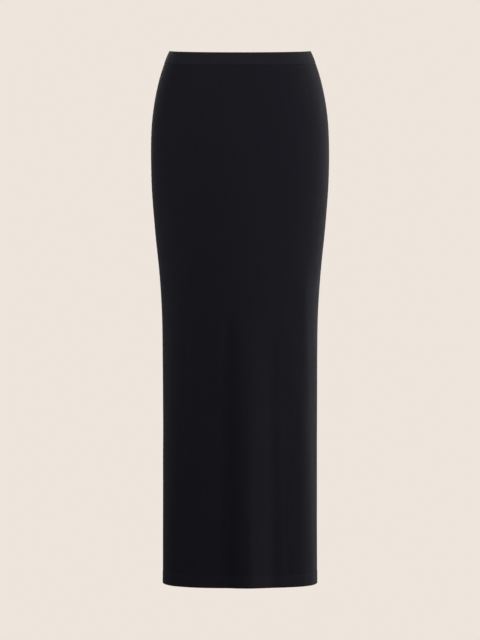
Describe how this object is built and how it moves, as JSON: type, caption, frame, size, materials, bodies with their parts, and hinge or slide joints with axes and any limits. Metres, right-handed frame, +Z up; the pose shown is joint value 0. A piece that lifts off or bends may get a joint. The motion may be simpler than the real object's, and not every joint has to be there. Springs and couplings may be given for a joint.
{
  "type": "maxi skirt",
  "caption": "Long, narrow pull-on jersey skirt with a soft elastic waistband, hollow and open at the waist and at the hem.",
  "frame": {"origin": "middle of the waist opening, level with the top ends of the side seams", "axes": "+Z up, out of the waist opening; the front of the skirt faces -Y; +X is the right-hand side seen from the front"},
  "size_m": [0.3286, 0.2398, 0.9785],
  "materials": {
    "body_jersey": "matt black single jersey knit with a soft sheen at the edges",
    "waistband_jersey": "matt black jersey stretched over an elastic"
  },
  "bodies": {
    "root": {"waistband": "waistband_jersey", "front_panel": "body_jersey", "back_panel": "body_jersey"}
  },
  "joints": []
}
